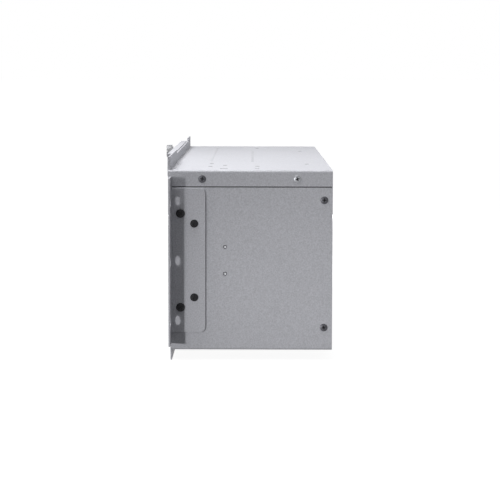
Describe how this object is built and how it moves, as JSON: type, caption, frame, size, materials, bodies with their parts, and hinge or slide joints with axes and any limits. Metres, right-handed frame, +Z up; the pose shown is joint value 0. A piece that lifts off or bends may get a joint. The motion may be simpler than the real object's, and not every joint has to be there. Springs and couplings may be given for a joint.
{
  "type": "media converter chassis",
  "caption": "Shallow sheet-steel rack chassis with front bays for upright converters, rack ears, a lock bar, rear fans and slide-out power modules.",
  "frame": {"origin": "centre of the rack slot pattern, on the rear face of the rack ears", "axes": "X across the front, Y from the front to the rear, Z up"},
  "size_m": [0.4826, 0.1398, 0.152],
  "materials": {
    "painted_steel": "light grey fine-textured powder coat",
    "plated_steel": "zinc-plated steel, satin",
    "black_screw": "black oxide",
    "dark_screw": "dark nickel",
    "brass": "turned brass",
    "black_plastic": "moulded, matt",
    "cream_plastic": "moulded nylon, natural",
    "red_plastic": "moulded, satin",
    "lamp_plastic": "diffused lamp resin",
    "green_board": "glass-epoxy board with solder mask",
    "wire_jacket": "wire insulation"
  },
  "bodies": {
    "chassis": {"base_pan": "painted_steel", "lid": "painted_steel", "front_frame": "painted_steel", "rear_panel": "painted_steel", "rack_ear_left": "painted_steel", "rack_ear_right": "painted_steel", "ear_screws": "black_screw", "lid_screws": "dark_screw", "rear_corner_screws": "dark_screw", "side_rivets": "plated_steel", "side_brackets": "plated_steel", "lower_guide_tray": "painted_steel", "upper_guide_tray": "painted_steel", "tray_screws": "plated_steel", "backplane_board": "green_board", "bay_plug_blocks": "black_plastic", "bay_plugs": "plated_steel", "backplane_standoffs": "brass", "backplane_screws": "plated_steel", "power_board": "green_board", "power_board_spacers": "plated_steel", "power_sockets": "cream_plastic", "cable_headers": "cream_plastic", "power_wires": "wire_jacket", "status_lamps": "lamp_plastic", "fan_frames": "black_plastic", "fan_guards": "plated_steel", "fan_screws": "dark_screw", "ground_screw": "brass", "psu_rails": "plated_steel"},
    "lock_bar": {"lock_bar": "painted_steel"},
    "lock_thumbscrew": {"lock_thumbscrew": "plated_steel"},
    "fan_rotor_1": {"fan_rotor_1": "black_plastic"},
    "fan_rotor_2": {"fan_rotor_2": "black_plastic"},
    "fan_rotor_3": {"fan_rotor_3": "black_plastic"},
    "psu_1": {"psu_1_case": "plated_steel", "psu_1_cover": "plated_steel", "psu_1_board": "green_board", "psu_1_parts": "black_plastic", "psu_1_connector": "cream_plastic", "psu_1_inlet": "black_plastic", "psu_1_switch_housing": "black_plastic", "psu_1_lamp": "lamp_plastic"},
    "psu_1_rocker": {"psu_1_rocker": "red_plastic"},
    "psu_1_bail": {"psu_1_bail": "plated_steel"},
    "psu_1_screw_left": {"psu_1_screw_left": "plated_steel"},
    "psu_1_screw_right": {"psu_1_screw_right": "plated_steel"},
    "psu_2": {"psu_2_case": "plated_steel", "psu_2_cover": "plated_steel", "psu_2_board": "green_board", "psu_2_parts": "black_plastic", "psu_2_connector": "cream_plastic", "psu_2_inlet": "black_plastic", "psu_2_switch_housing": "black_plastic", "psu_2_lamp": "lamp_plastic"},
    "psu_2_rocker": {"psu_2_rocker": "red_plastic"},
    "psu_2_bail": {"psu_2_bail": "plated_steel"},
    "psu_2_screw_left": {"psu_2_screw_left": "plated_steel"},
    "psu_2_screw_right": {"psu_2_screw_right": "plated_steel"}
  },
  "joints": [
    {"name": "lock_bar_pull", "type": "slide", "parent": "chassis", "child": "lock_bar", "axis": [0, -1, 0], "range_m": [0, 0.02]},
    {"name": "lock_thumbscrew_turn", "type": "hinge", "parent": "lock_bar", "child": "lock_thumbscrew", "pos_m": [0, -0.0103, 0.07168], "axis": [0, 1, 0], "continuous": true},
    {"name": "fan_1_spin", "type": "hinge", "parent": "chassis", "child": "fan_rotor_1", "pos_m": [-0.12, 0.1135, 0.039], "axis": [0, 1, 0], "continuous": true},
    {"name": "fan_2_spin", "type": "hinge", "parent": "chassis", "child": "fan_rotor_2", "pos_m": [-0.028, 0.1135, 0.039], "axis": [0, 1, 0], "continuous": true},
    {"name": "fan_3_spin", "type": "hinge", "parent": "chassis", "child": "fan_rotor_3", "pos_m": [0.064, 0.1135, 0.039], "axis": [0, 1, 0], "continuous": true},
    {"name": "psu_1_slide", "type": "slide", "parent": "chassis", "child": "psu_1", "axis": [0, 1, 0], "range_m": [0, 0.11]},
    {"name": "psu_1_rocker_tip", "type": "hinge", "parent": "psu_1", "child": "psu_1_rocker", "pos_m": [-0.15786, 0.1217, -0.041], "axis": [1, 0, 0], "range_deg": [-20, 0]},
    {"name": "psu_1_bail_swing", "type": "hinge", "parent": "psu_1", "child": "psu_1_bail", "pos_m": [-0.166, 0.1232, -0.024], "axis": [1, 0, 0], "range_deg": [0, 90]},
    {"name": "psu_1_screw_left_turn", "type": "hinge", "parent": "psu_1", "child": "psu_1_screw_left", "pos_m": [-0.213, 0.1237, -0.041], "axis": [0, 1, 0], "continuous": true},
    {"name": "psu_1_screw_right_turn", "type": "hinge", "parent": "psu_1", "child": "psu_1_screw_right", "pos_m": [-0.119, 0.1237, -0.041], "axis": [0, 1, 0], "continuous": true},
    {"name": "psu_2_slide", "type": "slide", "parent": "chassis", "child": "psu_2", "axis": [0, 1, 0], "range_m": [0, 0.11]},
    {"name": "psu_2_rocker_tip", "type": "hinge", "parent": "psu_2", "child": "psu_2_rocker", "pos_m": [-0.05186, 0.1217, -0.041], "axis": [1, 0, 0], "range_deg": [-20, 0]},
    {"name": "psu_2_bail_swing", "type": "hinge", "parent": "psu_2", "child": "psu_2_bail", "pos_m": [-0.06, 0.1232, -0.024], "axis": [1, 0, 0], "range_deg": [0, 90]},
    {"name": "psu_2_screw_left_turn", "type": "hinge", "parent": "psu_2", "child": "psu_2_screw_left", "pos_m": [-0.107, 0.1237, -0.041], "axis": [0, 1, 0], "continuous": true},
    {"name": "psu_2_screw_right_turn", "type": "hinge", "parent": "psu_2", "child": "psu_2_screw_right", "pos_m": [-0.013, 0.1237, -0.041], "axis": [0, 1, 0], "continuous": true}
  ]
}
